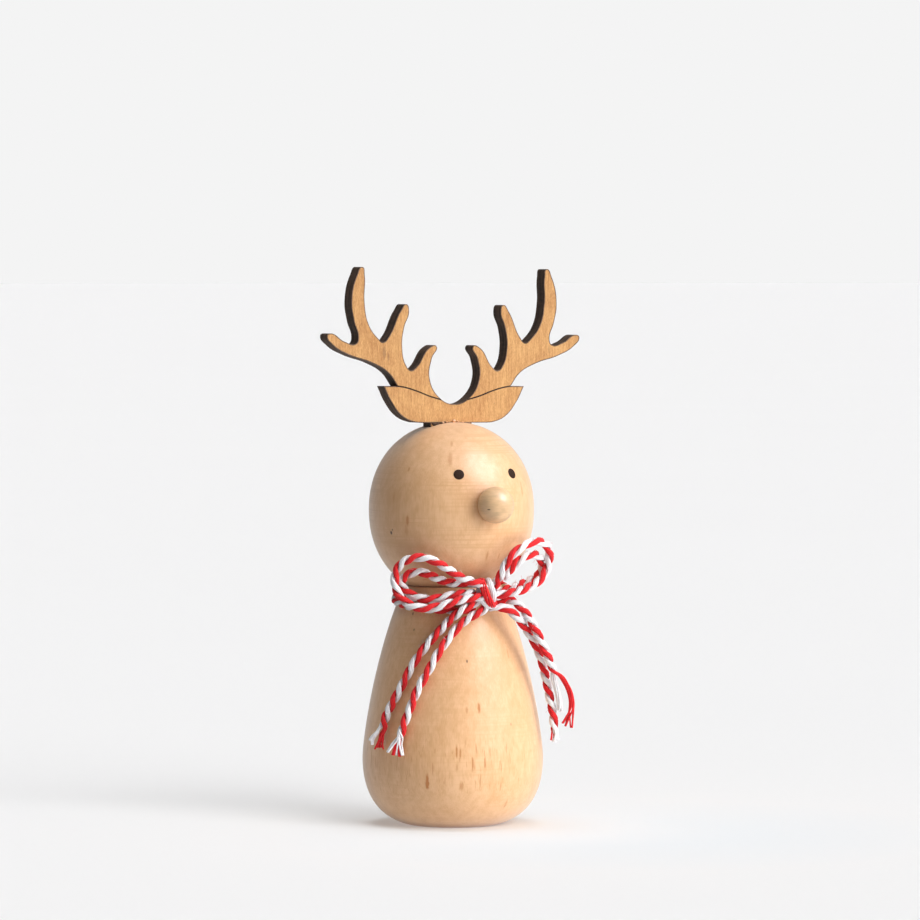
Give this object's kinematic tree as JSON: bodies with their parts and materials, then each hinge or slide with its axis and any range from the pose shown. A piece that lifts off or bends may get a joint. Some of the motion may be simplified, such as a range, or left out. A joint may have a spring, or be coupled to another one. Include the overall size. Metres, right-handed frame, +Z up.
{
  "type": "wooden deer figurine",
  "caption": "Turned wooden deer figurine with a round head on a tapered body, a flat antler and ear plate, a peg nose, dot eyes and a striped twine bow.",
  "frame": {"origin": "centre of the flat base, on the axis that the body and head are turned about", "axes": "+Z up along the turned axis, -Y is the way the deer looks, +X to the right as seen from its front"},
  "size_m": [0.0578, 0.0399, 0.1113],
  "materials": {
    "pale_wood": "satin varnished pale turned wood",
    "dowel_wood": "plain unvarnished dowel",
    "plate_wood": "matt sheet wood with darkened cut edges",
    "nose_wood": "smooth satin wood",
    "eye_black": "black",
    "twine": "cotton, red and white plies twisted together"
  },
  "bodies": {
    "root": {"body": "pale_wood", "head": "pale_wood", "neck_dowel": "dowel_wood", "antler_plate": "plate_wood", "nose": "nose_wood", "left_eye": "eye_black", "right_eye": "eye_black", "neck_twine_upper": "twine", "neck_twine_lower": "twine", "bow_knot": "twine", "left_loop_outer": "twine", "left_loop_inner": "twine", "right_loop_outer": "twine", "right_loop_inner": "twine", "left_tail_outer": "twine", "left_tail_inner": "twine", "right_tail_outer": "twine", "right_tail_inner": "twine"}
  },
  "joints": []
}
